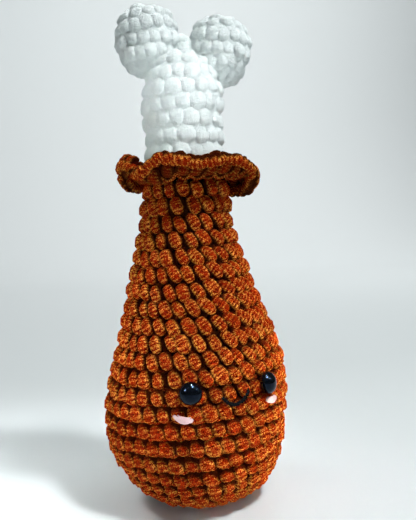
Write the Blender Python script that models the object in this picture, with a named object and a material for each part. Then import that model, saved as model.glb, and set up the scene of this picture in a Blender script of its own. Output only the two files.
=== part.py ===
"""A crocheted plush drumstick toy with a small face, in metres, +Z up, at its real size.

The brown part is one piece of crochet, worked in rounds from the flat spot that it stands on, up
over a round belly to a narrow neck, and out into a wavy frill. A white crocheted bone with two
knobs stands in the frill. The face looks along -Y: two domed eyes, a stitched smile and two
stitched cheeks. The origin is the centre of the flat spot.

Angles run round the toy from the middle of the face, positive to the right of someone who looks
at the face.
"""

from math import cos, pi, radians, sin

import bmesh
import bpy
from mathutils import Matrix, Vector

# --- Driving dimensions, in metres -------------------------------------------------------------

NECK_Z = 0.1830  # where the frill leaves the neck
NECK_RADIUS = 0.0248
BELLY_RADIUS = 0.0524
FLAT_SPOT_RADIUS = 0.019

# The outside of the brown part, over the tops of its stitches: radius and height, going up.
BODY_OUTLINE = (
    (FLAT_SPOT_RADIUS, 0.0),
    (0.0310, 0.0048),
    (0.0420, 0.0150),
    (0.0497, 0.0296),
    (BELLY_RADIUS, 0.0500),
    (0.0519, 0.0660),
    (0.0487, 0.0830),
    (0.0431, 0.1030),
    (0.0373, 0.1230),
    (0.0320, 0.1430),
    (0.0274, 0.1600),
    (NECK_RADIUS, NECK_Z),
)
# How many stitches go round in each row, from the flat spot to the neck.
BODY_STITCHES = (18, 24, 30, 33, 36, 39, 39, 39, 39, 39, 36, 36, 33, 30, 30, 27, 27, 24, 21, 21, 18, 18)
# As it was made by hand, the toy wanders from side to side: how far, at each height.
WANDER = ((0.0, 0.0), (0.045, -0.0018), (0.090, 0.0002), (0.150, -0.0036), (0.185, -0.0032))
WANDER_TOWARDS = radians(67)

GROOVE_BETWEEN_ROWS = 0.0020  # how much lower than a stitch's top
GROOVE_BETWEEN_STITCHES = 0.0023
LEAN = 0.6  # of a stitch's width: how far each row lags behind the one below
# The rows aren't quite level: they rise towards one side, most halfway up the body.
ROW_RISE = 0.0029
ROW_RISE_TOWARDS = radians(107)

# The frill is a ribbon that leaves the neck and waves up and down on its way round. At the back and
# sides it arches over and its rim curls down; at the front it sags a little and its rim stands up.
# Its section is a curve from the root towards the bend and on to the rim. FRILL_SECTIONS has the
# angle in degrees, the radius and height of the bend, and the radius and height of the rim.
FRILL_ROOT = (0.0250, 0.1865)
FRILL_SECTIONS = (
    (-160, 0.0345, 0.1885, 0.0340, 0.1855),
    (-142, 0.0360, 0.1910, 0.0338, 0.1805),
    (-125, 0.0380, 0.1960, 0.0345, 0.1825),
    (-108, 0.0355, 0.2010, 0.0355, 0.1890),
    (-92, 0.0340, 0.2010, 0.0358, 0.1912),
    (-77, 0.0335, 0.1950, 0.0360, 0.1885),
    (-62, 0.0335, 0.1800, 0.0372, 0.1868),
    (-49, 0.0330, 0.1800, 0.0372, 0.1922),
    (-38, 0.0330, 0.1830, 0.0368, 0.1945),
    (-26, 0.0330, 0.1850, 0.0362, 0.1934),
    (-9, 0.0330, 0.1848, 0.0366, 0.1908),
    (10, 0.0330, 0.1850, 0.0372, 0.1936),
    (28, 0.0340, 0.1850, 0.0382, 0.1918),
    (45, 0.0360, 0.1865, 0.0390, 0.1888),
    (62, 0.0380, 0.1905, 0.0390, 0.1845),
    (78, 0.0398, 0.1940, 0.0390, 0.1795),
    (95, 0.0412, 0.1960, 0.0386, 0.1762),
    (112, 0.0410, 0.1960, 0.0382, 0.1772),
    (130, 0.0375, 0.1920, 0.0370, 0.1825),
    (150, 0.0340, 0.1850, 0.0365, 0.1910),
    (175, 0.0340, 0.1850, 0.0362, 0.1915),
)
FRILL_THICKNESS = 0.0062
FRILL_STITCHES = 48
# Rings of points across the ribbon: share of its width, stitches round, and depth of the grooves.
FRILL_ROWS = ((0.28, 28, 0.0009), (0.60, 28, 0.0), (0.94, FRILL_STITCHES, 0.0009))
FRILL_RIM = 0.0026  # how far the rim's stitches stand past the ribbon's end
RIM_GROOVE = 0.0010

SEAT_Z = 0.1850  # the bone stands here, inside the frill
SEAT_RADIUS = 0.0240
COLLAR = 0.0040  # how deep the seat is
GAP = 0.0003  # between pieces that touch

SHAFT_RADIUS = 0.0233
# The outside of the bone's shaft, over its stitches, from its flat foot to the top of its dome.
SHAFT_OUTLINE = (
    (0.0215, SEAT_Z + GAP),
    (SHAFT_RADIUS, 0.1895),
    (0.0230, 0.2100),
    (0.0232, 0.2320),
    (0.0205, 0.2450),
    (0.0140, 0.2540),
    (0.0045, 0.2580),
)
SHAFT_STITCHES = (16, 16, 16, 16, 16, 16, 16, 11, 6)
# A knob's outside about its own axis: radius, and height over its middle.
KNOB_OUTLINE = (
    (0.0070, -0.0200),
    (0.0138, -0.0155),
    (0.0178, -0.0065),
    (0.0187, 0.0035),
    (0.0168, 0.0128),
    (0.0114, 0.0184),
    (0.0035, 0.0203),
)
KNOB_STITCHES = (12, 15, 15, 15, 12, 6)
# Each knob's middle in the bone's own frame, whose X axis runs from one knob to the other, and
# how far the knob leans away from the other.
KNOBS = (((-0.0192, 0.003, 0.2637), radians(-4)), ((0.0220, 0.007, 0.2577), radians(8)))
# The short neck of crochet that joins the knobs, about its own axis.
BRIDGE_OUTLINE = ((0.0050, -0.0130), (0.0092, -0.0070), (0.0092, 0.0070), (0.0050, 0.0130))
BRIDGE_STITCHES = (8, 8, 8)
BRIDGE_MIDDLE = (0.0010, 0.006, 0.2585)
BONE_TURN = radians(-23)  # the knobs aren't quite in line with the face
BONE_GROOVE = 0.0019

EYE_RADIUS = 0.006
EYE_DOME = 0.0046  # how far the dome stands out of its rim
EYE_RIM = 0.0014  # thickness of the rim behind the dome
EYE_BEVEL = 0.0004  # the rim is a little narrower at the back
EYE_ROWS = 6
EYE_SINK = 0.0008  # how far the dome's edge lies below the tops of the stitches
EYE_SIDES = 24
EYES = {"left": (radians(-27), 0.0716), "right": (radians(23.6), 0.0722)}  # angle and height

SMILE_WIDTH = 0.0152
SMILE_MIDDLE = (radians(0.4), 0.0656)  # angle and height
SMILE_RISE = 0.0052  # how far its ends stand over its middle
SMILE_SLANT = 0.0013  # how much higher again its right end is, and lower its left
SMILE_THREAD = 0.0009  # radius
SMILE_POINTS = 9

# Angle, height and turn. The outer end is the higher one.
CHEEKS = {
    "left": (radians(-30.3), 0.0590, radians(-10)),
    "right": (radians(27.0), 0.0632, radians(13)),
}
CHEEK_LENGTH = 0.0120
CHEEK_STRANDS = 5
CHEEK_STRAND_WIDTH = 0.0009
CHEEK_HEIGHT = 0.0013
CHEEK_COLUMNS = 9
CHEEK_TAPER = 0.18  # how much shorter the outer strands are
CHEEK_GROOVE = 0.55  # height between two strands, as a share of a strand's
CHEEK_END = 0.2  # height of a strand's end, likewise

CURVE_STEPS = 24  # between two points of an outline


# --- Curves ------------------------------------------------------------------------------------


def smooth_curve(points, steps=CURVE_STEPS):
    """Points along a Catmull-Rom curve through the given points, ends included."""
    ends = [2 * points[0] - points[1], 2 * points[-1] - points[-2]]
    padded = [ends[0], *points, ends[1]]
    curve = []
    for before, start, end, after in zip(padded, padded[1:], padded[2:], padded[3:]):
        for step in range(steps):
            t = step / steps
            curve.append(
                0.5 * (2 * start + (end - before) * t)
                + 0.5 * (2 * before - 5 * start + 4 * end - after) * t**2
                + 0.5 * (3 * start - before - 3 * end + after) * t**3
            )
    curve.append(points[-1])
    return curve


class Outline:
    """One side of a round shape's section: X is the radius and Y the height, going up."""

    def __init__(self, points):
        self.curve = smooth_curve([Vector(point) for point in points])
        self.along = [0.0]
        for start, end in zip(self.curve, self.curve[1:]):
            self.along.append(self.along[-1] + (end - start).length)

    @property
    def length(self):
        return self.along[-1]

    def place(self, distance):
        """The point this far along the outline, and the direction that faces out of it there."""
        index = 1
        while index < len(self.along) - 1 and self.along[index] < distance:
            index += 1
        start, end = self.curve[index - 1], self.curve[index]
        step = self.along[index] - self.along[index - 1]
        point = start.lerp(end, (distance - self.along[index - 1]) / step)
        direction = (end - start).normalized()
        return point, Vector((direction.y, -direction.x))

    def at_height(self, height):
        """As place(), for the point at this height."""
        index = min(range(len(self.curve)), key=lambda i: abs(self.curve[i].y - height))
        return self.place(self.along[index])


def around(angle, radius, z):
    """A point at this angle round the toy's axis."""
    return Vector((radius * sin(angle), -radius * cos(angle), z))


def wandered(point):
    """The point moved aside as the whole toy wanders at its height."""
    height = min(max(point.z, 0.0), WANDER[-1][0])
    index = min(range(len(WANDER_CURVE)), key=lambda i: abs(WANDER_CURVE[i].x - height))
    return point + around(WANDER_TOWARDS, WANDER_CURVE[index].y, 0.0)


# --- Rings of stitches -------------------------------------------------------------------------


# Where a ring has its points on each stitch, in stitches from its middle, and whether each point
# is on the stitch or in the gap beside it.
BROAD = ((-0.24, True), (0.24, True), (0.5, False))
NARROW = ((0.0, True), (0.5, False))


class Ring:
    """Points in order round an axis, with their angles, which rise by one turn in all."""

    def __init__(self, count, phase, spots, place):
        """place(angle, on_stitch) gives each point of a ring of count stitches."""
        stitch = 2 * pi / count
        spread = [(phase + (k + spot) * stitch, on) for k in range(count) for spot, on in spots]
        self.angles = [angle for angle, _ in spread]
        self.points = [place(angle, on_stitch) for angle, on_stitch in spread]


def crochet_rings(outline, stitches, groove_between_rows, groove_between_stitches, rise=0.0):
    """Rings up an outline: one through the tops of each row, and one in each groove above it."""
    row_height = outline.length / len(stitches)

    def ring_at(row, count, phase, spots, depth, gap_depth):
        most = rise * sin(pi * row / len(stitches))

        def place(angle, on_stitch):
            distance = row * row_height + most * cos(angle - ROW_RISE_TOWARDS)
            point, outwards = outline.place(distance)
            return around(angle, *(point - outwards * (depth if on_stitch else gap_depth)))

        return Ring(count, phase, spots, place)

    rings = [ring_at(0, stitches[0], 0.0, NARROW, 0.0, 0.0)]
    turned = 0.0
    for row, count in enumerate(stitches):
        turned -= LEAN * 2 * pi / count
        rings.append(ring_at(row + 0.5, count, turned, BROAD, 0.0, groove_between_stitches))
        above = stitches[min(row + 1, len(stitches) - 1)]
        between = turned - LEAN * pi / count
        rings.append(
            ring_at(row + 1, above, between, NARROW, groove_between_rows, groove_between_stitches)
        )
    return rings


def skin(rings, name):
    """A mesh object whose surface runs from ring to ring, with its first and last ring filled."""
    mesh = bmesh.new()
    loops = [[mesh.verts.new(point) for point in ring.points] for ring in rings]
    for lower, upper, low, high in zip(rings, rings[1:], loops, loops[1:]):
        zip_rings(mesh, lower.angles, low, upper.angles, high)
    mesh.faces.new(reversed(loops[0]))
    mesh.faces.new(loops[-1])
    bmesh.ops.triangulate(mesh, faces=[face for face in mesh.faces if len(face.verts) > 4])
    return object_of(mesh, name)


def zip_rings(mesh, low_angles, low, high_angles, high):
    """Triangles between two rings, which may have different numbers of points."""
    turn = 2 * pi
    nearest = min(
        range(len(high)),
        key=lambda k: abs((high_angles[k] - low_angles[0] + pi) % turn - pi),
    )
    offset = high_angles[nearest] - low_angles[0]
    offset -= (offset + pi) % turn - pi

    def low_at(k):
        return low_angles[k % len(low)] + turn * (k // len(low))

    def high_at(k):
        return high_angles[k % len(high)] + turn * (k // len(high)) - offset

    i, j = 0, nearest
    while i < len(low) or j < nearest + len(high):
        corner, across = low[i % len(low)], high[j % len(high)]
        step_low = j >= nearest + len(high) or (i < len(low) and low_at(i + 1) < high_at(j + 1))
        if step_low:
            i += 1
            mesh.faces.new((corner, low[i % len(low)], across))
        else:
            j += 1
            mesh.faces.new((corner, high[j % len(high)], across))


# --- Objects -----------------------------------------------------------------------------------


def object_of(mesh, name):
    """The mesh as an object in the scene, shaded smooth."""
    data = bpy.data.meshes.new(name)
    mesh.to_mesh(data)
    mesh.free()
    data.shade_smooth()
    made = bpy.data.objects.new(name, data)
    bpy.context.scene.collection.objects.link(made)
    return made


def give_material(made, name, colour, roughness):
    """One Principled material, whose colour is linear."""
    material = bpy.data.materials.new(name)
    material.use_nodes = True
    shader = material.node_tree.nodes["Principled BSDF"]
    shader.inputs["Base Color"].default_value = (*colour, 1.0)
    shader.inputs["Roughness"].default_value = roughness
    shader.inputs["Metallic"].default_value = 0.0
    made.data.materials.clear()
    made.data.materials.append(material)
    return made


def boolean(made, other, operation):
    """Joins the other object to this one or cuts it away, and hides the other."""
    modifier = made.modifiers.new(f"{operation.title()} {other.name}", "BOOLEAN")
    modifier.operation = operation
    modifier.object = other
    other.hide_render = True
    other.display_type = "WIRE"


def facing_out(angle, height, lift):
    """The matrix of a piece set on the belly, with its own Z pointing out of the surface."""
    point, outwards = BODY.at_height(height)
    place = wandered(around(angle, *(point + outwards * lift)))
    out = around(angle, *outwards)
    right = around(angle + pi / 2, 1.0, 0.0)
    up = out.cross(right)
    return Matrix.Translation(place) @ Matrix((right, up, out)).transposed().to_4x4()


def lathe(points, steps, name):
    """A solid turned about Z, from a half section that runs from the axis to the axis, going up."""
    mesh = bmesh.new()
    section = [mesh.verts.new((radius, 0.0, z)) for radius, z in points]
    edges = [mesh.edges.new(pair) for pair in zip(section, section[1:])]
    bmesh.ops.spin(
        mesh,
        geom=section + edges,
        axis=(0, 0, 1),
        cent=(0, 0, 0),
        angle=2 * pi,
        steps=steps,
        use_merge=True,
    )
    bmesh.ops.remove_doubles(mesh, verts=mesh.verts, dist=1e-6)
    bmesh.ops.recalc_face_normals(mesh, faces=mesh.faces)
    return object_of(mesh, name)


# --- The brown part ----------------------------------------------------------------------------

BODY = Outline(BODY_OUTLINE)
WANDER_CURVE = smooth_curve([Vector(point) for point in WANDER])


def frill_section(angle):
    """The bend and the rim of the frill's section at this angle, eased from one row to the next."""
    rows = FRILL_SECTIONS
    degrees = rows[0][0] + (angle * 180 / pi - rows[0][0]) % 360
    index = max(k for k, row in enumerate(rows) if row[0] <= degrees)

    def row_at(k):
        turn, k = divmod(k, len(rows))
        return rows[k][0] + 360 * turn, Vector(rows[k][1:])

    (before, a), (start, b), (end, c), (after, d) = (row_at(index + k) for k in (-1, 0, 1, 2))
    t = (degrees - start) / (end - start)
    leaving = (c - a) * ((end - start) / (end - before))
    arriving = (d - b) * ((end - start) / (after - start))
    eased = b * ((1 + 2 * t) * (1 - t) ** 2) + c * (t * t * (3 - 2 * t))
    eased += leaving * (t * (1 - t) ** 2) + arriving * (t * t * (t - 1))
    return Vector(eased[:2]), Vector(eased[2:])


def frill_middle(angle, share):
    """The middle of the ribbon, this share of the way from the neck to its rim, and its upper side."""
    root = Vector(FRILL_ROOT)
    bend, rim = frill_section(angle)
    point = root * (1 - share) ** 2 + bend * (2 * share * (1 - share)) + rim * share**2
    along = ((bend - root) * (1 - share) + (rim - bend) * share).normalized()
    return point, Vector((-along.y, along.x)), along


def frill_rings():
    """Rings out along the ribbon's underside, round its rim and back along its upper side."""

    def side(share, count, groove, sign):
        def place(angle, on_stitch):
            point, upper, _ = frill_middle(angle, share)
            half = FRILL_THICKNESS / 2 - (0.0 if on_stitch else groove)
            return around(angle, *(point + upper * (sign * half)))

        return Ring(count, 0.0, NARROW, place)

    def rim(angle, on_stitch):
        point, _, along = frill_middle(angle, 1.0)
        return around(angle, *(point + along * (FRILL_RIM if on_stitch else FRILL_RIM - RIM_GROOVE)))

    under = [side(*row, -1) for row in FRILL_ROWS]
    over = [side(*row, 1) for row in reversed(FRILL_ROWS)]
    return [*under, Ring(FRILL_STITCHES, 0.0, BROAD, rim), *over]


def seat_rings():
    """The collar round the bone's foot, and the floor that the foot stands on."""
    return [
        Ring(BODY_STITCHES[-1], 0.0, NARROW, lambda angle, _: around(angle, SEAT_RADIUS, height))
        for height in (SEAT_Z + COLLAR, SEAT_Z)
    ]


def make_meat():
    """The belly, the neck and the frill, with a pocket for each eye."""
    body = crochet_rings(
        BODY, BODY_STITCHES, GROOVE_BETWEEN_ROWS, GROOVE_BETWEEN_STITCHES, ROW_RISE
    )
    rings = [*body, *frill_rings(), *seat_rings()]
    for ring in rings:
        ring.points = [wandered(point) for point in ring.points]
    meat = skin(rings, "meat")
    give_material(meat, "brown chenille", (0.27, 0.062, 0.012), 0.9)
    floor = -(EYE_SINK + EYE_RIM + GAP)
    radius = EYE_RADIUS + GAP
    for side, (angle, height) in EYES.items():
        section = ((0, floor), (radius, floor), (radius, EYE_RADIUS), (0, EYE_RADIUS))
        pocket = lathe(section, EYE_SIDES, f"pocket_{side}")
        pocket.matrix_world = facing_out(angle, height, 0.0)
        boolean(meat, pocket, "DIFFERENCE")
    return meat


# --- The bone ----------------------------------------------------------------------------------


def make_bone():
    """The shaft, its two knobs and the neck between them, joined into one white piece."""

    def crocheted(outline, stitches, name):
        return skin(crochet_rings(Outline(outline), stitches, BONE_GROOVE, BONE_GROOVE), name)

    bone = crocheted(SHAFT_OUTLINE, SHAFT_STITCHES, "bone")
    bone.location = wandered(Vector((0.0, 0.0, SEAT_Z))) - Vector((0.0, 0.0, SEAT_Z))
    bone.rotation_euler.z = BONE_TURN
    give_material(bone, "white chenille", (0.75, 0.79, 0.79), 0.85)
    parts = [(crocheted(KNOB_OUTLINE, KNOB_STITCHES, "knob"), *knob) for knob in KNOBS]
    parts.append((crocheted(BRIDGE_OUTLINE, BRIDGE_STITCHES, "bridge"), BRIDGE_MIDDLE, pi / 2))
    for other, middle, tilt in parts:
        other.parent = bone
        other.location = middle
        other.rotation_euler.y = tilt
        boolean(bone, other, "UNION")
    return bone


# --- The face ----------------------------------------------------------------------------------


def make_eye(name, angle, height):
    """A black plastic safety eye: a dome on a thin round rim, flat at the back."""
    turns = [pi / 2 * k / EYE_ROWS for k in range(EYE_ROWS)]
    dome = [(EYE_RADIUS * cos(turn), EYE_DOME * sin(turn)) for turn in turns]
    section = [(0, -EYE_RIM), (EYE_RADIUS - EYE_BEVEL, -EYE_RIM), *dome, (0, EYE_DOME)]
    eye = lathe(section, EYE_SIDES, name)
    eye.matrix_world = facing_out(angle, height, -EYE_SINK)
    return give_material(eye, "black plastic", (0.004, 0.004, 0.005), 0.08)


def make_smile():
    """A black thread laid over the stitches, lowest in the middle."""
    count = SMILE_POINTS
    data = bpy.data.curves.new("smile", "CURVE")
    data.dimensions = "3D"
    spline = data.splines.new("POLY")
    spline.points.add(count - 1)
    for k, point in enumerate(spline.points):
        across = 2 * k / (count - 1) - 1
        middle_angle, middle_height = SMILE_MIDDLE
        height = middle_height + SMILE_RISE * abs(across) ** 2.5 + SMILE_SLANT * across
        surface, outwards = BODY.at_height(height)
        angle = middle_angle + across * SMILE_WIDTH / 2 / surface.x
        place = wandered(around(angle, *(surface + outwards * (SMILE_THREAD + GAP))))
        point.co = (*place, 1.0)
    data.bevel_depth = SMILE_THREAD
    data.bevel_resolution = 2
    data.use_fill_caps = True
    smile = bpy.data.objects.new("smile", data)
    bpy.context.scene.collection.objects.link(smile)
    return give_material(smile, "black thread", (0.01, 0.009, 0.009), 0.7)


def make_cheek(name, angle, height, tilt):
    """A patch of parallel strands, which follows the curve of the belly and thins at its ends."""
    rows = 2 * CHEEK_STRANDS + 1
    columns = CHEEK_COLUMNS
    surface, _ = BODY.at_height(height)
    mesh = bmesh.new()
    grids = []
    for thickness in (0.0, CHEEK_HEIGHT):
        grid = []
        for row in range(rows):
            across = (row / (rows - 1) - 0.5) * CHEEK_STRANDS * CHEEK_STRAND_WIDTH
            length = CHEEK_LENGTH * (1 - CHEEK_TAPER * (2 * row / (rows - 1) - 1) ** 2)
            ridge = 1.0 if row % 2 else CHEEK_GROOVE
            line = []
            for column in range(columns):
                share = 2 * column / (columns - 1) - 1
                along = share * length / 2
                inwards = along**2 / (2 * surface.x)
                thin = 1 - (1 - CHEEK_END) * share**4
                line.append(mesh.verts.new((along, across, thickness * ridge * thin - inwards)))
            grid.append(line)
        grids.append(grid)
    back, front = grids
    for row in range(rows - 1):
        for column in range(columns - 1):
            corners = ((row, column), (row, column + 1), (row + 1, column + 1), (row + 1, column))
            mesh.faces.new([front[r][c] for r, c in corners])
            mesh.faces.new([back[r][c] for r, c in reversed(corners)])
    edge = [(0, c) for c in range(columns)]
    edge += [(r, columns - 1) for r in range(1, rows)]
    edge += [(rows - 1, c) for c in range(columns - 2, -1, -1)]
    edge += [(r, 0) for r in range(rows - 2, 0, -1)]
    for (r, c), (next_r, next_c) in zip(edge, edge[1:] + edge[:1]):
        mesh.faces.new((back[r][c], back[next_r][next_c], front[next_r][next_c], front[r][c]))
    cheek = object_of(mesh, name)
    cheek.matrix_world = facing_out(angle, height, GAP) @ Matrix.Rotation(tilt, 4, "Z")
    return give_material(cheek, "pale pink thread", (0.93, 0.80, 0.78), 0.6)


def main():
    for old in list(bpy.data.objects):
        bpy.data.objects.remove(old, do_unlink=True)
    make_meat()
    make_bone()
    for side, (angle, height) in EYES.items():
        make_eye(f"eye_{side}", angle, height)
    make_smile()
    for side, (angle, height, tilt) in CHEEKS.items():
        make_cheek(f"cheek_{side}", angle, height, tilt)


main()
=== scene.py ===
"""Looks of a crocheted plush drumstick toy: its yarn, stitch by stitch, its eyes and its sewing.

Every stitch is laid as three short lengths of thick chenille yarn over a closed core, on the same
outlines as the solids. Lengths are in metres, +Z is up, and the face looks along -Y. Angles run
round the toy from the middle of the face, positive to the right of someone who looks at the face.
"""

import logging
from dataclasses import dataclass, field
from enum import Enum
from math import cos, pi, radians, sin, tau
from typing import Any, Callable

import bpy
import numpy as np
from mathutils import Matrix, Vector


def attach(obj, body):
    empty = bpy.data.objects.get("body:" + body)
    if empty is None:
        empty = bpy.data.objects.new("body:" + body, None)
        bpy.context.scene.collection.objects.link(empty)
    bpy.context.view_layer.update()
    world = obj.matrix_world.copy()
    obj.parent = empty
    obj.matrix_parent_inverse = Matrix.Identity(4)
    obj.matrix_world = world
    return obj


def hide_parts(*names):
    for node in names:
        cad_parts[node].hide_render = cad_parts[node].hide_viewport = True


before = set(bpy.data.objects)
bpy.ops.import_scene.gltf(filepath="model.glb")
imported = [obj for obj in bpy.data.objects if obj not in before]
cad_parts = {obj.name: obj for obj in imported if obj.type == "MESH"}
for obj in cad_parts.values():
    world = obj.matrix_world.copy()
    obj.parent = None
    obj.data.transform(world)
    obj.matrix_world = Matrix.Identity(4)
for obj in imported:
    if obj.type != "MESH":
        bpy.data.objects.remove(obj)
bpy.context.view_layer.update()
log = logging.getLogger("drumstick")

Array = np.ndarray
Colour = tuple[float, float, float]
Place = tuple[float, float, float]

# --- Named sizes of the toy, in metres ---------------------------------------------------------

# The outside of the brown part over the tops of its stitches, from the middle of its underside up.
BODY_OUTLINE = (
    (0.0004, 0.0),
    (0.0100, 0.0),
    (0.0190, 0.0),
    (0.0310, 0.0048),
    (0.0420, 0.0150),
    (0.0497, 0.0296),
    (0.0524, 0.0500),
    (0.0519, 0.0660),
    (0.0487, 0.0830),
    (0.0431, 0.1030),
    (0.0373, 0.1230),
    (0.0320, 0.1430),
    (0.0274, 0.1600),
    (0.0248, 0.1830),
)
UNDER_STITCHES = (6, 12)
BODY_STITCHES = (18, 24, 30, 33, 36, *[39] * 5, 36, 36, 33, 30, 30, 27, 27, 24, 21, 21, 18, 18)
FACE_ROWS = 12  # the rows from the underside up to here make the lower piece of yarn
WANDER = ((0.0, 0.0), (0.045, -0.0018), (0.090, 0.0002), (0.150, -0.0036), (0.185, -0.0032))
WANDER_TOWARDS = radians(67)
LEAN = 0.6  # of a stitch: how far each row lags behind the one below
ROW_RISE = 0.0029
ROW_RISE_TOWARDS = radians(107)
SLANT = 0.50  # radians that the stitches are pulled over on one side, halfway up
SLANT_TOWARDS = radians(38)
SLANT_FROM, SLANT_OVER = 0.37, 0.60  # shares of the outline where the slant starts and runs
SLACK_UP_TO, SLACK_FADE = 0.38, 0.25  # likewise, where the stitches below stop being slack
BACK_SLANT = 0.4  # the slack stitches lean back by this share of the slant
RIPPLES = ((2, 9, 0.0), (3, -17, 1.0))  # of the stuffing: waves round, turns up, and phase
CORE_DEPTH = 0.0056  # the core lies this far under the tops of the stitches
CORE_RINGS, CORE_SIDES = 6, 72  # rings for each row, and points round
SETTLED_BELOW, SETTLED_SHARE = 0.0012, 0.9  # yarn lower than this is pressed by the floor

FRILL_ROOT = (0.0250, 0.1865)
# The ribbon's section once round: angle in degrees, then the bend and the rim, each as radius and
# height. A bend over the rim curls the ribbon down, and one under it cups the ribbon.
FRILL_SECTIONS = (
    (-160, 0.0345, 0.1885, 0.0340, 0.1855),
    (-142, 0.0360, 0.1910, 0.0338, 0.1805),
    (-125, 0.0380, 0.1960, 0.0345, 0.1825),
    (-108, 0.0355, 0.2010, 0.0355, 0.1890),
    (-92, 0.0340, 0.2010, 0.0358, 0.1912),
    (-77, 0.0335, 0.1950, 0.0360, 0.1885),
    (-62, 0.0335, 0.1800, 0.0372, 0.1868),
    (-49, 0.0330, 0.1800, 0.0372, 0.1922),
    (-38, 0.0330, 0.1830, 0.0368, 0.1945),
    (-26, 0.0330, 0.1850, 0.0362, 0.1934),
    (-9, 0.0330, 0.1848, 0.0366, 0.1908),
    (10, 0.0330, 0.1850, 0.0372, 0.1936),
    (28, 0.0340, 0.1850, 0.0382, 0.1918),
    (45, 0.0360, 0.1865, 0.0390, 0.1888),
    (62, 0.0380, 0.1905, 0.0390, 0.1845),
    (78, 0.0398, 0.1940, 0.0390, 0.1795),
    (95, 0.0412, 0.1960, 0.0386, 0.1762),
    (112, 0.0410, 0.1960, 0.0382, 0.1772),
    (130, 0.0375, 0.1920, 0.0370, 0.1825),
    (150, 0.0340, 0.1850, 0.0365, 0.1910),
    (175, 0.0340, 0.1850, 0.0362, 0.1915),
)
FRILL_FACE_STITCHES = 28
FRILL_RIM_STITCHES = 48
FRILL_ROOT_LOOPS = 28
FRILL_HALF = 0.0016  # half the thickness of the ribbon's core
FRILL_CORE_SIDES = 240
# Each length of yarn on the ribbon: stitches across, share of the way to the rim, and how far it
# stands out as a share of half the ribbon.
FRILL_LUMP = (
    (-0.16, 0.34, -0.2),
    (-0.10, 0.46, 0.9),
    (0.00, 0.60, 1.15),
    (0.08, 0.74, 1.0),
    (0.12, 0.88, 0.2),
)
FRILL_FOOT = ((0.05, -0.02, 0.6), (0.12, 0.12, 1.0), (0.20, 0.26, 1.0), (0.28, 0.38, 0.3))
FRILL_BEAD = (
    (-0.56, 0.86, -0.1),
    (-0.30, 0.93, 0.8),
    (0.00, 0.96, 1.1),
    (0.30, 0.98, 0.8),
    (0.56, 0.97, -0.1),
)
# The loops round its root, whose last number is in metres.
FRILL_SCALLOP = (
    (-0.58, 0.46, -0.0016),
    (-0.34, 0.31, -0.0030),
    (0.00, 0.25, -0.0034),
    (0.34, 0.31, -0.0030),
    (0.58, 0.46, -0.0016),
)

SEAT_Z = 0.1850
BONE_TURN = radians(-23)
BONE_CORE_DEPTH = 0.0017
SHAFT_OUTLINE = (
    (0.0215, 0.1853),
    (0.0233, 0.1895),
    (0.0230, 0.2100),
    (0.0232, 0.2320),
    (0.0205, 0.2450),
    (0.0140, 0.2540),
    (0.0045, 0.2580),
)
SHAFT_STITCHES = (16, 16, 16, 16, 16, 16, 16, 11, 6)
KNOB_OUTLINE = (
    (0.0010, -0.0212),
    (0.0070, -0.0200),
    (0.0138, -0.0155),
    (0.0178, -0.0065),
    (0.0187, 0.0035),
    (0.0168, 0.0128),
    (0.0114, 0.0184),
    (0.0035, 0.0203),
)
KNOB_STITCHES = (7, 12, 15, 15, 15, 12, 6)
# Each knob's middle in the bone's own frame, and how far it leans away from the other.
KNOBS = {
    "knob_left": ((-0.0192, 0.003, 0.2637), radians(-4)),
    "knob_right": ((0.0220, 0.007, 0.2577), radians(8)),
}
BRIDGE_OUTLINE = ((0.0050, -0.0130), (0.0092, -0.0070), (0.0092, 0.0070), (0.0050, 0.0130))
BRIDGE_STITCHES = (8, 8, 8)
BRIDGE_MIDDLE = (0.0010, 0.006, 0.2585)

EYE_RADIUS = 0.006
EYE_DOME = 0.0046
EYE_RIM = 0.0014
EYE_SINK = 0.0003
EYE_BEVEL = 0.00018
EYE_INSET = 0.00012
EYE_TAPER = 0.96  # the width of its back, as a share of its front's
# Angle, height, and how far it looks to the right of straight out.
EYES = {
    "left": (radians(-27), 0.0716, 0.0),
    "right": (radians(23.6), 0.0722, radians(22)),
}

SMILE_WIDTH = 0.0152
SMILE_MIDDLE = (radians(0.4), 0.0656)
SMILE_RISE = 0.0052
SMILE_SLANT = 0.0013
SMILE_LIFT = 0.0009  # its thread's middle over the tops of the stitches
SMILE_DIP = 0.0026  # how far its ends go in
SMILE_DIP_FROM = 0.88  # of the way to its ends
SMILE_EASE = 0.00025  # how far it rises and falls over the stitches between
SMILE_TURNS = 7  # of its two plies round each other
PLY_RADIUS = 0.00056
PLY_OFFSET = 0.00042

# Angle, height and turn.
CHEEKS = {
    "left": (radians(-30.3), 0.0590, radians(-10)),
    "right": (radians(26.6), 0.0632, radians(0)),
}
CHEEK_LENGTH = 0.0126
CHEEK_HEIGHT = 0.0030
CHEEK_STRANDS = 6
CHEEK_LIFT = 0.0009
CHEEK_SAG = 0.0006  # how far the middle of its strands hangs down
CHEEK_TUCK = 0.0030  # how far the ends of its strands go in
CHEEK_HALF_WIDTH, CHEEK_HALF_HEIGHT = 0.00038, 0.00050  # of one strand

NOMINAL_PITCH = 0.0084  # the width of a stitch that the lengths of yarn are drawn for
SIZE_RANGE = (0.75, 1.12)  # how small and how large a stitch can be drawn
WIDER_WHEN_PLUMP = 0.12  # the share by which a stitch of plumpness 1 is wider


# --- Curves and meshes -------------------------------------------------------------------------


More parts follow.
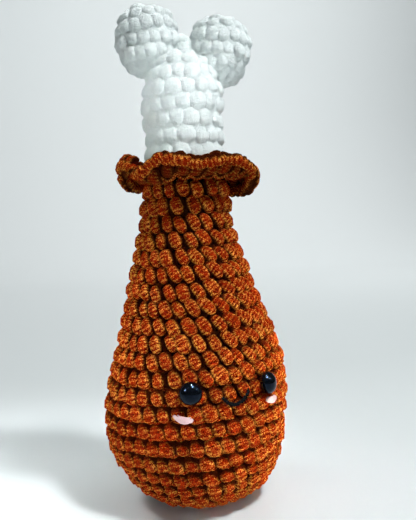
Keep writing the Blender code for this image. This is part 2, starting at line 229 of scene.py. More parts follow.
def spline_weights(count: int, stations: Array) -> Array:
    """How much each control point counts along a Catmull-Rom curve through them.

    Args:
        count: The number of control points.
        stations: Places along the curve, from 0 to 1.

    Returns:
        One row of weights a station, and one column a control point.
    """
    points = np.eye(count)
    padded = np.vstack([2 * points[0] - points[1], points, 2 * points[-1] - points[-2]])
    place = np.clip(stations, 0.0, 1.0) * (count - 1)
    index = np.minimum(place.astype(int), count - 2)
    t = (place - index)[:, None]
    before, start, end, after = (padded[index + k] for k in range(4))
    return 0.5 * (
        2 * start
        + (end - before) * t
        + (2 * before - 5 * start + 4 * end - after) * t**2
        + (3 * start - before - 3 * end + after) * t**3
    )


def unit(vectors: Array) -> Array:
    """The vectors at length 1."""
    return vectors / np.maximum(np.linalg.norm(vectors, axis=-1, keepdims=True), 1e-12)


def deselect_all() -> None:
    """Leaves nothing selected, so that an operator acts only on what comes next."""
    bpy.ops.object.select_all(action="DESELECT")


def linked(name: str, data: bpy.types.ID) -> bpy.types.Object:
    """A new object in the scene that shows this mesh, lamp or camera."""
    made = bpy.data.objects.new(name, data)
    bpy.context.scene.collection.objects.link(made)
    return made


def coordinates(data: bpy.types.Mesh) -> Array:
    """The points of a mesh, one row each."""
    points = np.zeros(len(data.vertices) * 3, np.float32)
    data.vertices.foreach_get("co", points)
    return points.reshape(-1, 3)


def closed_grid(name: str, grid: Array) -> bpy.types.Object:
    """A closed round piece from rings of points, with a cap over its first and last ring.

    Args:
        name: The object's name.
        grid: Points by ring, by place round it, by coordinate. Rings go up, and places turn
            counter-clockwise as seen from above.

    Returns:
        The new object.
    """
    rings, around_count, _ = grid.shape
    vertices = np.vstack([grid.reshape(-1, 3), grid[0].mean(0), grid[-1].mean(0)])
    low_pole, high_pole = len(vertices) - 2, len(vertices) - 1
    last = (rings - 1) * around_count
    faces: list[tuple[int, ...]] = []
    for k in range(around_count):
        after = (k + 1) % around_count
        faces.append((low_pole, after, k))
        faces.append((high_pole, last + k, last + after))
        for ring in range(rings - 1):
            low, high = ring * around_count, (ring + 1) * around_count
            faces.append((low + k, low + after, high + after, high + k))
    data = bpy.data.meshes.new(name)
    data.from_pydata([tuple(point) for point in vertices], [], faces)
    data.shade_smooth()
    return linked(name, data)


@dataclass
class Outline:
    """One side of a round shape's section: radius and height, going up.

    Attributes:
        points: The points that the smooth curve passes through.
        curve: Points close together on that curve, with a straight run past each end.
        along: How far along the curve each of them lies.
        length: The curve's length, without the straight runs.
    """

    points: tuple[tuple[float, float], ...]
    curve: Array = field(init=False)
    along: Array = field(init=False)
    length: float = field(init=False)

    def __post_init__(self) -> None:
        """Draws the curve finely and measures it."""
        count = len(self.points)
        steps_each = 24
        weights = spline_weights(count, np.linspace(0, 1, steps_each * (count - 1) + 1))
        inner = weights @ np.array(self.points)
        steps = np.linalg.norm(np.diff(inner, axis=0), axis=1)
        inner_along = np.concatenate([[0.0], np.cumsum(steps)])
        self.length = float(inner_along[-1])
        spare = 0.02  # the straight run past each end, for yarn that reaches over it
        first = inner[0] - unit(inner[1] - inner[0]) * spare
        last = inner[-1] + unit(inner[-1] - inner[-2]) * spare
        self.curve = np.vstack([first, inner, last])
        self.along = np.concatenate([[-spare], inner_along, [self.length + spare]])

    def place(self, distance: Array) -> tuple[Array, Array]:
        """Points this far along the outline.

        Args:
            distance: Lengths from the outline's start.

        Returns:
            The points, and the directions that face out of the outline there.
        """
        point = np.stack([np.interp(distance, self.along, self.curve[:, k]) for k in (0, 1)], -1)
        slopes = unit(np.gradient(self.curve, self.along, axis=0))
        turn = unit(np.stack([np.interp(distance, self.along, slopes[:, k]) for k in (0, 1)], -1))
        return point, np.stack([turn[..., 1], -turn[..., 0]], -1)

    def at_height(self, height: float) -> float:
        """How far along the outline this height is first reached on its outer side."""
        inner = self.curve[1:-1]
        return float(self.along[1 + int(np.argmin(np.abs(inner[:, 1] - height)))])


def wander(height: Array) -> Array:
    """How far the whole toy stands to one side at each height, as a vector."""
    knots = np.array(WANDER)
    steps = 96
    fine = spline_weights(len(knots), np.linspace(0, 1, steps + 1)) @ knots
    aside = np.interp(height, fine[:, 0], fine[:, 1])
    return np.stack([aside * sin(WANDER_TOWARDS), -aside * cos(WANDER_TOWARDS), 0 * aside], -1)


@dataclass
class RoundFabric:
    """Crochet worked in rounds up an outline.

    Attributes:
        outline: The outside over the tops of the stitches.
        stitches: How many stitches each row has, going up.
        rise: How far the rows climb towards one side, most halfway up.
        matrix: Where the outline's own axis and origin stand.
        wanders: Whether it sways to one side with the whole toy.
        unevenness: How far the stuffing pushes it in and out.
        slant: Radians that its stitches are pulled over on one side.
        slim: How much narrower its stitches get towards its top.
        plump: How slack its stitches are, towards its bottom.
    """

    outline: Outline
    stitches: tuple[int, ...]
    rise: float = 0.0
    matrix: Matrix = field(default_factory=Matrix)
    wanders: bool = False
    unevenness: float = 0.0004
    slant: float = 0.0
    slim: float = 0.0
    plump: float = 0.0

    @property
    def row_height(self) -> float:
        """The height of one row along the outline."""
        return self.outline.length / len(self.stitches)

    def place(self, angle: Array, distance: Array, lift: Array) -> tuple[Array, Array]:
        """Points over or under the fabric.

        Args:
            angle: Angles round its axis.
            distance: Lengths along its outline.
            lift: How far out of the outline.

        Returns:
            The points, and the directions that face out of the fabric there.
        """
        angle, distance, lift = np.broadcast_arrays(angle, distance, lift)
        share = np.clip(distance / self.outline.length, 0, 1)
        most = self.rise * np.sin(pi * share)
        point, out = self.outline.place(distance + most * np.cos(angle - ROW_RISE_TOWARDS))
        ripple = sum(np.sin(waves * angle + up * share + at) for waves, up, at in RIPPLES)
        lift = lift + self.unevenness * ripple * np.sin(pi * share)
        radius = np.maximum(point[..., 0] + out[..., 0] * lift, 0.0002)
        height = point[..., 1] + out[..., 1] * lift
        around = np.stack([np.sin(angle), -np.cos(angle)], -1)
        places = np.concatenate([around * radius[..., None], height[..., None]], -1)
        outwards = np.concatenate([around * out[..., :1], out[..., 1:]], -1)
        if self.wanders:
            places = places + wander(places[..., 2])
        turn = np.array(self.matrix.to_3x3())
        return places @ turn.T + np.array(self.matrix.translation), outwards @ turn.T

    def pull(self, angle: Array, distance: Array) -> tuple[Array, Array, Array]:
        """How the fabric's tension shapes the stitches at these places.

        Args:
            angle: Angles round its axis.
            distance: Lengths along its outline.

        Returns:
            The radians that the stitches lean, the share by which they are narrower, and how
            slack they are.
        """
        share = np.clip(distance / self.outline.length, 0, 1)
        side = (0.5 + 0.5 * np.cos(angle - SLANT_TOWARDS)) ** 2
        leaning = side * np.sin(pi * np.clip((share - SLANT_FROM) / SLANT_OVER, 0, 1))
        upwards = np.clip((share - SLACK_UP_TO) / SLACK_FADE, 0, 1)
        lean = self.slant * (leaning - BACK_SLANT * (1 - upwards))
        return lean, self.slim * np.maximum(upwards, leaning), self.plump * (1 - upwards)

    def core(self, name: str, depth: float) -> bpy.types.Object:
        """The closed form just under the stitches."""
        share = np.linspace(0.0, 1.0, CORE_RINGS * len(self.stitches))[:, None]
        angle = np.linspace(0.0, tau, CORE_SIDES, endpoint=False)[None, :]
        points, _ = self.place(angle, share * self.outline.length, np.array(-depth))
        return closed_grid(name, points)


# --- Yarn --------------------------------------------------------------------------------------


@dataclass(frozen=True)
class Lie:
    """How one length of yarn lies in a stitch.

    Attributes:
        path: Its control points: stitches across, rows up, and metres out of the outline.
        half_width: Half its breadth along the fabric.
        half_height: Half its thickness out of the fabric.
    """

    path: tuple[Place, ...]
    half_width: float
    half_height: float


class StitchYarn(Enum):
    """The three lengths of yarn that show in a single crochet stitch."""

    FRONT_LEG = Lie(
        (
            (-0.16, 0.40, -0.0066),
            (-0.11, 0.25, -0.0038),
            (-0.01, 0.01, -0.0030),
            (0.08, -0.22, -0.0028),
            (0.13, -0.38, -0.0052),
        ),
        half_width=0.00390,
        half_height=0.00300,
    )
    BACK_LEG = Lie(
        (
            (0.32, 0.40, -0.0082),
            (0.40, 0.22, -0.0064),
            (0.49, -0.02, -0.0056),
            (0.57, -0.24, -0.0054),
            (0.62, -0.42, -0.0074),
        ),
        half_width=0.00140,
        half_height=0.00170,
    )
    BAR = Lie(
        (
            (0.20, -0.44, -0.0068),
            (0.38, -0.51, -0.0052),
            (0.60, -0.52, -0.0048),
            (0.84, -0.44, -0.0068),
        ),
        half_width=0.00120,
        half_height=0.00140,
    )


@dataclass
class Lengths:
    """Lengths of yarn ready to be laid.

    Attributes:
        paths: The control points of each.
        outwards: The way out of the fabric at each control point.
        half_widths: Half the breadth of each.
        half_heights: Half the thickness of each.
        painted_shade_lifts: Metres out of the outline per control point; lower paints more shade.
        shades: Extra painted shade on the right side of each, as a share of the way across.
    """

    paths: Array
    outwards: Array
    half_widths: Array
    half_heights: Array
    painted_shade_lifts: Array
    shades: Array | float = 0.0


class YarnModel:
    """One short length of yarn, modelled once as a rounded tube and then laid many times."""

    def __init__(
        self, sides: int = 8, rings: int = 9, squareness: float = 0.5, fluff: float = 0.04
    ) -> None:
        """Models the tube.

        Args:
            sides: Points round it.
            rings: Rings along it, its two ends included.
            squareness: 0 for an egg, and up to 1 for a straight tube with flat ends.
            fluff: The share by which each point is pushed in or out, as loose pile does.
        """
        self.fluff = fluff
        deselect_all()
        bpy.ops.mesh.primitive_uv_sphere_add(segments=sides, ring_count=rings, radius=1.0)
        tube = bpy.context.object
        cast = tube.modifiers.new("straighten", "CAST")
        cast.cast_type = "CYLINDER"
        cast.factor = squareness
        cast.size = 1.0
        cast.use_z = False
        bpy.ops.object.modifier_apply(modifier=cast.name)
        data = tube.data
        points = coordinates(data).astype(float)
        reach = np.abs(points[:, :2]).max()
        self.across = points[:, 0] / reach
        self.up = points[:, 1] / reach
        self.station = (points[:, 2] + 1) / 2
        ends = np.abs(points[:, 2]) ** 2.2
        self.edge = np.clip(np.maximum(np.abs(self.across), ends), 0, 1)
        self.corners = np.zeros(len(data.loops), np.int32)
        data.loops.foreach_get("vertex_index", self.corners)
        self.starts = np.zeros(len(data.polygons), np.int32)
        data.polygons.foreach_get("loop_start", self.starts)
        uv = np.zeros(len(data.loops) * 2)
        data.uv_layers.active.data.foreach_get("uv", uv)
        self.round_uv = uv.reshape(-1, 2)
        bpy.data.objects.remove(tube)

    def lay(self, name: str, lengths: Lengths, rng: np.random.Generator) -> bpy.types.Object:
        """One mesh of many lengths of yarn.

        The mesh has the UV map "yarn" (turns round the yarn, and metres along it) and the
        attributes "strand" (a number from 0 to 1 for each length), "edge" (0 along its crown and
        1 along its sides and ends) and "lift" (metres out of the outline, lowered for painted
        shade, which sets how dark its colour is painted).

        Args:
            name: The object's name.
            lengths: Where each length lies.
            rng: Gives each length its fluff and its number.

        Returns:
            The new object.
        """
        count, controls, _ = lengths.paths.shape
        weights = spline_weights(controls, self.station)
        centre = np.einsum("tk,nkc->ntc", weights, lengths.paths)
        step = 0.02
        ahead = spline_weights(controls, self.station + step)
        behind = spline_weights(controls, self.station - step)
        along = unit(np.einsum("tk,nkc->ntc", ahead - behind, lengths.paths))
        out = np.einsum("tk,nkc->ntc", weights, lengths.outwards)
        out = unit(out - along * (out * along).sum(-1, keepdims=True))
        side = np.cross(out, along)
        per = len(self.station)
        loose = rng.normal(0, 1, (count, per)).clip(-2, 2)
        fluffed = (1 + self.fluff * loose)[..., None]
        wide = lengths.half_widths[:, None, None] * self.across[None, :, None] * fluffed
        high = lengths.half_heights[:, None, None] * self.up[None, :, None] * fluffed
        points = centre + side * wide + out * high
        # Painted shade: the lift that darkens the colour is lower on the right side of each
        # length.
        shades = np.broadcast_to(lengths.shades, count)[:, None]
        lift = lengths.painted_shade_lifts @ weights.T + high[..., 0] - shades * wide[..., 0]
        evenly = spline_weights(controls, np.linspace(0, 1, 9))
        fine = np.einsum("tk,nkc->ntc", evenly, lengths.paths)
        metres = np.linalg.norm(np.diff(fine, axis=1), axis=2).sum(1)
        strand = rng.random(count)

        data = bpy.data.meshes.new(name)
        data.vertices.add(count * per)
        data.vertices.foreach_set("co", points.reshape(-1).astype(np.float32))
        shift = np.arange(count)[:, None]
        corners = (self.corners + shift * per).reshape(-1)
        data.loops.add(len(corners))
        data.loops.foreach_set("vertex_index", corners.astype(np.int32))
        data.polygons.add(count * len(self.starts))
        starts = (self.starts + shift * len(self.corners)).reshape(-1)
        data.polygons.foreach_set("loop_start", starts.astype(np.int32))
        data.update(calc_edges=True)
        uv = np.empty((count, len(self.corners), 2), np.float32)
        uv[..., 0] = self.round_uv[:, 0]
        uv[..., 1] = self.round_uv[:, 1] * metres[:, None]
        data.uv_layers.new(name="yarn").data.foreach_set("uv", uv.reshape(-1))
        for label, values in (
            ("strand", np.repeat(strand, per)),
            ("edge", np.tile(self.edge, count)),
            ("lift", lift.reshape(-1)),
        ):
            attribute = data.attributes.new(label, "FLOAT", "POINT")
            attribute.data.foreach_set("value", values.astype(np.float32))
        data.validate()
        data.shade_smooth()
        return linked(name, data)


@dataclass(frozen=True)
class Slack:
    """How a wholly slack stitch of the lower belly differs from the usual one.

    Attributes:
        shorter: The share by which it is shorter.
        wider: The share by which it is wider.
        thicker: The share by which it is thicker.
        tilt: Metres that it leans out at its foot, and in at its head, over the height of a row.
        painted_shade: Metres by which its colour is darkened as painted shade.
        painted_shade_head: More painted shade at its head and less at its foot, over a row's
            height.
        side: How much more painted shade its right side gets, as a share of the way across.
    """

    shorter: float = 0.12
    wider: float = 0.24
    thicker: float = 0.10
    tilt: float = 0.0040
    painted_shade: float = 0.0010
    painted_shade_head: float = 0.0064
    side: float = 0.40


@dataclass
class Handwork:
    """How the stitches were made, and how unevenly.

    Attributes:
        shift: Of a stitch, each way.
        turn: Radians that a stitch is turned in the fabric.
        swell: Share by which the yarn is thicker or thinner.
        lift: Metres that a stitch stands proud or sinks.
        stagger: Of a row, by which the lengths of one stitch are out of step.
        plump: How much wider the stitches are everywhere.
        reach: How long they are, as a share of the usual.
        flat: How thick they are, likewise.
        slack: How they differ where the fabric is slack.
    """

    shift: float = 0.045
    turn: float = 0.10
    swell: float = 0.07
    lift: float = 0.00028
    stagger: float = 0.02
    plump: float = 0.0
    reach: float = 1.0
    flat: float = 1.0
    slack: Slack = Slack()


def crochet(
    fabric: RoundFabric,
    rows: range,
    rng: np.random.Generator,
    hand: Handwork,
) -> list[Lengths]:
    """The lengths of yarn of some rows of a fabric.

    Args:
        fabric: The fabric.
        rows: Which of its rows.
        rng: Gives the unevenness.
        hand: How uneven it is.

    Returns:
        The lengths of each kind of yarn in a stitch.
    """
    turned, angles, distances, pitches = 0.0, [], [], []
    for row, count in enumerate(fabric.stitches):
        turned -= LEAN * tau / count
        if row in rows:
            angles.append(turned + np.arange(count) * tau / count)
            distances.append(np.full(count, (row + 0.5) * fabric.row_height))
            pitches.append(np.full(count, tau / count))
    angle, distance, pitch = (np.concatenate(part) for part in (angles, distances, pitches))
    count = len(angle)
    radius = fabric.outline.place(distance)[0][:, 0]
    size = np.clip(pitch * radius / NOMINAL_PITCH, *SIZE_RANGE)
    shift_across = rng.normal(0, hand.shift, count)
    shift_up = rng.normal(0, hand.shift, count)
    slant, slimmer, slack = fabric.pull(angle, distance)
    turn = rng.normal(0, hand.turn, count) + slant
    proud = rng.normal(0, hand.lift, count)
    wider = 1 + hand.plump * WIDER_WHEN_PLUMP + hand.slack.wider * slack
    thicker = (0.5 + 0.5 * size) * (1 + hand.slack.thicker * slack)
    made = []
    for kind in StitchYarn:
        lie = kind.value
        across, up, lift = (np.array(part)[None, :] for part in zip(*lie.path))
        swell = 1 + rng.normal(0, hand.swell, count)
        up = up * (hand.reach * (1 - hand.slack.shorter * slack))[:, None]
        aside = np.tan(turn) * fabric.row_height / (pitch * radius)
        across = across - up * aside[:, None] + shift_across[:, None]
        up = up + shift_up[:, None] + rng.normal(0, hand.stagger, count)[:, None]
        lift = lift * hand.flat + proud[:, None] - hand.slack.tilt * up * slack[:, None]
        points, outwards = fabric.place(
            angle[:, None] + across * pitch[:, None],
            distance[:, None] + up * fabric.row_height,
            lift,
        )
        made.append(
            Lengths(
                points,
                outwards,
                lie.half_width * size * swell * wider * (1 - slimmer),
                lie.half_height * hand.flat * swell * thicker,
                # Painted shade: slack stitches are painted darker, most at their heads and right
                # sides.
                lift - (hand.slack.painted_shade + hand.slack.painted_shade_head * up) * slack[:, None],
                hand.slack.side * slack,
            )
        )
    return made


def together(name: str, parts: list[bpy.types.Object]) -> bpy.types.Object:
    """Joins objects into one.

    Args:
        name: The name of the joined object.
        parts: The objects, of which the first is kept.

    Returns:
        The joined object.
    """
    deselect_all()
    for part in parts:
        part.select_set(True)
    bpy.context.view_layer.objects.active = parts[0]
    bpy.ops.object.join()
    parts[0].name = name
    return parts[0]


# --- Shading -----------------------------------------------------------------------------------


class Number:
    """A number socket of a shader, with arithmetic that adds Math nodes."""

    def __init__(self, recipe: "Recipe", socket: bpy.types.NodeSocket) -> None:
        """Wraps a socket of this recipe."""
        self.recipe = recipe
        self.socket = socket

    def _maths(self, operation: str, first: Any, second: Any) -> "Number":
        """A Math node on two numbers, either of which may be plain."""
        return self.recipe.node("ShaderNodeMath", {"operation": operation}, {0: first, 1: second})

    def __add__(self, other: Any) -> "Number":
        """This plus the other."""
        return self._maths("ADD", self, other)

    def __mul__(self, other: Any) -> "Number":
        """This times the other."""
        return self._maths("MULTIPLY", self, other)

    def __sub__(self, other: Any) -> "Number":
        """This minus the other."""
        return self._maths("SUBTRACT", self, other)

    def __rsub__(self, other: Any) -> "Number":
        """The other minus this."""
        return self._maths("SUBTRACT", other, self)

    def sine(self) -> "Number":
        """Its sine."""
        return self._maths("SINE", self, 0.0)

    def clamped(self, low: float = 0.0, high: float = 1.0) -> "Number":
        """This, kept between two numbers."""
        return self._maths("MINIMUM", self._maths("MAXIMUM", self, low), high)


class Recipe:
    """A material under construction."""

    def __init__(self, name: str) -> None:
        """Starts a material that has no nodes yet."""
        self.material = bpy.data.materials.new(name)
        self.material.use_nodes = True
        self.tree = self.material.node_tree
        self.tree.nodes.clear()

    def node(
        self,
        kind: str,
        settings: dict[str, Any] | None = None,
        sockets: dict[int | str, Any] | None = None,
        output: int | str = 0,
    ) -> Number:
        """Adds a node.

        Args:
            kind: The node's type.
            settings: Its settings, set before its sockets.
            sockets: A value or another socket for each of its inputs that needs one.
            output: Which of its outputs is returned.

        Returns:
            The output, wrapped.
        """
        made = self.tree.nodes.new(kind)
        for key, value in (settings or {}).items():
            setattr(made, key, value)
        for key, value in (sockets or {}).items():
            if isinstance(value, Number):
                self.tree.links.new(value.socket, made.inputs[key])
            elif isinstance(value, tuple) and len(value) == 3 and made.inputs[key].type == "RGBA":
                made.inputs[key].default_value = (*value, 1.0)
            else:
                made.inputs[key].default_value = value
        return Number(self, made.outputs[output] if len(made.outputs) else None)

    def mix(self, factor: Any, first: Any, second: Any) -> Number:
        """A colour between two."""
        return self.node(
            "ShaderNodeMix", {"data_type": "RGBA"}, {0: factor, 6: first, 7: second}, output=2
        )

    def noise(self, at: Any, scale: float, detail: float = 2.0, roughness: float = 0.5) -> Number:
        """Noise from 0 to 1 at a vector."""
        return self.node(
            "ShaderNodeTexNoise",
            {},
            {"Vector": at, "Scale": scale, "Detail": detail, "Roughness": roughness},
        )

    def place(self) -> Number:
        """The place on the piece, in metres."""
        return self.node("ShaderNodeTexCoord", output="Object")

    def part_of(self, vector: Number, axis: int) -> Number:
        """One coordinate of a vector."""
        return self.node("ShaderNodeSeparateXYZ", {}, {0: vector}, output=axis)

    def along_yarn(self) -> tuple[Number, Number]:
        """The turns round a length of yarn, and the metres along it."""
        uv = self.node("ShaderNodeUVMap", {"uv_map": "yarn"})
        return self.part_of(uv, 0), self.part_of(uv, 1)

    def finish(self, sockets: dict[str, Any], height: Any = None, depth: float = 0.0) -> None:
        """Adds the Principled shader, with a bump if a height is given, and the output."""
        if height is not None:
            sockets["Normal"] = self.node(
                "ShaderNodeBump", {}, {"Strength": 1.0, "Distance": depth, "Height": height}
            )
        shader = self.node("ShaderNodeBsdfPrincipled", {}, sockets)
        self.node("ShaderNodeOutputMaterial", {}, {"Surface": shader})

    @staticmethod
    def dress(piece: bpy.types.Object, material: bpy.types.Material) -> None:
        """Gives a piece its only material."""
        piece.data.materials.clear()
        piece.data.materials.append(material)


@dataclass(frozen=True)
class Chenille:
    """Thick velvety yarn: short pile in clumps, which stand in ridges across the yarn.

    Attributes:
        name: The material's name.
        root: The colour between the clumps, and the painted shade deep in the fabric and in folds.
        pile: The colour of the pile.
        tip_and_highlight: The colour of its tips, and of the highlight painted along its sides.
        sheen_tint: The colour of its soft rim light.
        sheen: How strong that is.
        ribs: How far its ridges stand out.
        fluff: How much it puffs up in soft lumps of about 1.5 mm.
        ridge: Metres from one ridge of pile to the next.
        relief: Metres from the roots to the tips.
        painted_shade_below: Metres out of the outline under which its colour is painted in shade.
        painted_shade_fade: Metres from there to where that painted shade has faded out.
    """

    name: str
    root: Colour
    pile: Colour
    tip_and_highlight: Colour
    sheen_tint: Colour
    sheen: float = 1.0
    ribs: float = 0.17
    fluff: float = 0.0
    ridge: float = 0.00110
    relief: float = 0.00130
    painted_shade_below: float = -0.0030
    painted_shade_fade: float = 0.0018

    def material(self) -> bpy.types.Material:
        """The yarn's material: its pile as a height, the height's colour, and painted shade and
        highlight.
        """
        recipe = Recipe(self.name)
        turns, metres = recipe.along_yarn()
        strand, edge, lift = (
            recipe.node("ShaderNodeAttribute", {"attribute_name": name}, output="Fac")
            for name in ("strand", "edge", "lift")
        )
        place = recipe.place()
        hairs, patches, puffs = 1800.0, 110.0, 650.0  # a metre
        clumps_round, strand_apart, bend, offset = 9.0, 60.0, 7.0, 30.0

        grain = recipe.noise(place, hairs, detail=2.0, roughness=0.65)
        patch = recipe.noise(place, patches, detail=1.0)
        spot = recipe.node(
            "ShaderNodeCombineXYZ",
            {},
            {0: turns * clumps_round, 1: metres * (1 / self.ridge), 2: strand * strand_apart},
        )
        clump = recipe.noise(spot, 1.0, detail=1.0, roughness=0.5)
        puff = (recipe.noise(place, puffs, detail=2.0) - 0.5) * self.fluff
        phase = metres * (tau / self.ridge) + clump * bend + strand * offset
        ridges = phase.sine() * (patch + 0.5) * self.ribs
        height = (ridges + clump * 0.35 + grain * 2.4 + puff - 0.93).clamped()

        # Painted highlight: towards its sides each length is painted in the tip colour, as rim
        # light on the pile.
        rim = ((edge - 0.30) * 2.2).clamped()
        pile = recipe.mix((height * 2.3 - 0.06).clamped(), self.root, self.pile)
        light = height * 1.5 + rim * 0.36 + strand * 0.20 - 1.13
        lit = recipe.mix((light * 3.2).clamped(), pile, self.tip_and_highlight)
        # Painted shade: yarn that lies low, and the folds at each length's sides, are painted in
        # the root colour.
        out_of_painted_shade = ((lift - self.painted_shade_below) * (1 / self.painted_shade_fade)).clamped()
        out_of_painted_fold_shade = ((1 - edge) * 4.0).clamped()
        colour = recipe.mix(out_of_painted_shade * out_of_painted_fold_shade, self.root, lit)
        recipe.finish(
            {
                "Base Color": colour,
                "Roughness": 0.95,
                "Specular IOR Level": 0.0,
                "Sheen Weight": self.sheen,
                "Sheen Roughness": 0.35,
                "Sheen Tint": (*self.sheen_tint, 1.0),
            },
            height,
            self.relief,
        )
        return recipe.material


@dataclass(frozen=True)
class Core:
    """The inside of the fabric, which shows only in the gaps between the stitches, painted dark as
    shade.

    Attributes:
        name: The material's name.
        colour: The colour of its grain.
        shade: The colour between the grain.
        relief: Metres that the grain stands out.
    """

    name: str
    colour: Colour
    shade: Colour
    relief: float = 0.0004

    def material(self) -> bpy.types.Material:
        """The core's material."""
        recipe = Recipe(self.name)
        grain = recipe.noise(recipe.place(), 900.0, detail=3.0)
        colour = recipe.mix(grain, self.shade, self.colour)
        sockets = {"Base Color": colour, "Roughness": 1.0, "Specular IOR Level": 0.0}
        recipe.finish(sockets, grain, self.relief)
        return recipe.material


@dataclass(frozen=True)
class GlossPlastic:
    """Polished plastic with the faintest unevenness and a little dust.

    Attributes:
        name: The material's name.
        colour: The plastic's colour.
        dust: The dust's colour.
        mirrored: The colour that it gives to what is mirrored in it.
        relief: Metres that its surface is uneven.
    """

    name: str
    colour: Colour
    dust: Colour
    mirrored: Colour = (0.40, 0.62, 1.0)
    relief: float = 0.00001

    def material(self) -> bpy.types.Material:
        """The plastic's material."""
        recipe = Recipe(self.name)
        place = recipe.place()
        specks = (recipe.noise(place, 1400.0, detail=2.0) - 0.66).clamped() * 1.2
        smear = recipe.noise(place, 160.0, detail=2.0)
        colour = recipe.mix(specks, self.colour, self.dust)
        recipe.finish(
            {
                "Base Color": colour,
                "Roughness": smear * 0.07 + 0.03,
                "Specular IOR Level": 0.18,
                "Specular Tint": (*self.mirrored, 1.0),
            },
            smear,
            self.relief,
        )
        return recipe.material


@dataclass(frozen=True)
class Thread:
    """Smooth embroidery thread: fine fibres that wind along it, with a soft shine.

    Attributes:
        name: The material's name.
        colour: The colour of the fibres.
        shade: The colour between them.
        roughness: How dull it is.
        fibres: How many fibres lie round it.
        twist: Metres in which they wind once round it.
        relief: Metres that they stand out.
    """

    name: str
    colour: Colour
    shade: Colour
    roughness: float
    fibres: int = 9
    twist: float = 0.0021
    relief: float = 0.00009

    def material(self) -> bpy.types.Material:
        """The thread's material."""
        recipe = Recipe(self.name)
        turns, metres = recipe.along_yarn()
        fuzz = recipe.noise(recipe.place(), 2600.0, detail=2.0)
        phase = turns * (self.fibres * tau) + metres * (tau / self.twist) + fuzz * 2.0
        ridges = phase.sine() * 0.5 + 0.5
        colour = recipe.mix((ridges * 0.6 + fuzz * 0.5).clamped(), self.shade, self.colour)
        sockets = {
            "Base Color": colour,
            "Roughness": self.roughness,
            "Specular IOR Level": 0.02,
        }
        recipe.finish(sockets, ridges, self.relief)
        return recipe.material


class Finish(Enum):
    """Every finish on the toy."""

    BROWN_YARN = Chenille(
        "brown chenille yarn",
        root=(0.030, 0.0022, 0.0008),
        pile=(0.400, 0.0175, 0.0018),
        tip_and_highlight=(1.000, 0.430, 0.058),
        sheen_tint=(1.0, 0.30, 0.05),
        sheen=0.12,
    )
    WHITE_YARN = Chenille(
        "white chenille yarn",
        root=(0.83, 0.92, 0.92),
        pile=(0.865, 0.955, 0.955),
        tip_and_highlight=(0.91, 0.98, 0.98),
        sheen_tint=(1.0, 1.0, 1.0),
        sheen=0.1,
        ribs=0.04,
        fluff=0.9,
        relief=0.00085,
    )
    # Painted shade: the core is brown yarn painted as dark as the gaps look in shade.
    BROWN_CORE = Core("brown yarn in the dark", (0.028, 0.0028, 0.0010), (0.012, 0.0012, 0.0005))
    EYE = GlossPlastic("polished black plastic", (0.0010, 0.0012, 0.0020), (0.03,) * 3)
    SMILE = Thread("black embroidery thread", (0.004, 0.0038, 0.0038), (0.001, 0.001, 0.001), 0.8)
    CHEEK = Thread("pale pink embroidery thread", (0.80, 0.66, 0.665), (0.50, 0.25, 0.28), 0.60)

    def on(self, piece: bpy.types.Object) -> bpy.types.Object:
        """Dresses a piece, making the material the first time."""
        made = bpy.data.materials.get(self.value.name) or self.value.material()
        Recipe.dress(piece, made)
        return piece


# --- The toy's parts ---------------------------------------------------------------------------


def hand_in(piece: bpy.types.Object, node: str) -> bpy.types.Object:
    """Sets a piece on the toy's one body, in place of a solid."""
    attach(piece, "root")
    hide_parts(node)
    log.info("%s: %d faces, stands for %s", piece.name, len(piece.data.polygons), node)
    return piece


def worked(
    name: str, yarn: YarnModel, lengths: list[Lengths], finish: Finish, rng: np.random.Generator
) -> bpy.types.Object:
    """One piece of crochet: its lengths of yarn laid, joined and dressed.

    Args:
        name: The piece's name.
        yarn: The model of the yarn.
        lengths: Where its lengths lie.
        finish: What the yarn looks like.
        rng: Gives the yarn its fluff.

    Returns:
        The piece.
    """
    laid = [yarn.lay(f"{name}_{k}", each, rng) for k, each in enumerate(lengths)]
    return finish.on(together(name, laid))


@dataclass
class Belly:
    """The brown body: a pear of crochet from its flat spot to its neck."""

    yarn: YarnModel
    seed: int = 11
    hand: Handwork = field(default_factory=Handwork)
    fabric: RoundFabric = field(
        default_factory=lambda: RoundFabric(
            Outline(BODY_OUTLINE),
            UNDER_STITCHES + BODY_STITCHES,
            rise=ROW_RISE,
            wanders=True,
            slant=SLANT,
            slim=0.09,
            plump=0.7,
        )
    )

    def build(self) -> list[bpy.types.Object]:
        """Makes the core and its stitches.

        Returns:
            The pieces.
        """
        core = Finish.BROWN_CORE.on(self.fabric.core("body_core", CORE_DEPTH))
        pieces = [hand_in(core, "meat")]
        rng = np.random.default_rng(self.seed)
        for name, rows in (
            ("body_yarn_low", range(0, FACE_ROWS)),
            ("body_yarn_high", range(FACE_ROWS, len(self.fabric.stitches))),
        ):
            lengths = crochet(self.fabric, rows, rng, self.hand)
            piece = worked(name, self.yarn, lengths, Finish.BROWN_YARN, rng)
            self.settle(piece)
            pieces.append(hand_in(piece, "meat"))
        return pieces

    @staticmethod
    def settle(piece: bpy.types.Object) -> None:
        """Flattens what would reach below the surface that the toy stands on."""
        points = coordinates(piece.data)
        low = points[:, 2] < SETTLED_BELOW
        points[low, 2] = np.maximum(points[low, 2], 0.0) * SETTLED_SHARE
        piece.data.vertices.foreach_set("co", points.reshape(-1))
        piece.data.update()


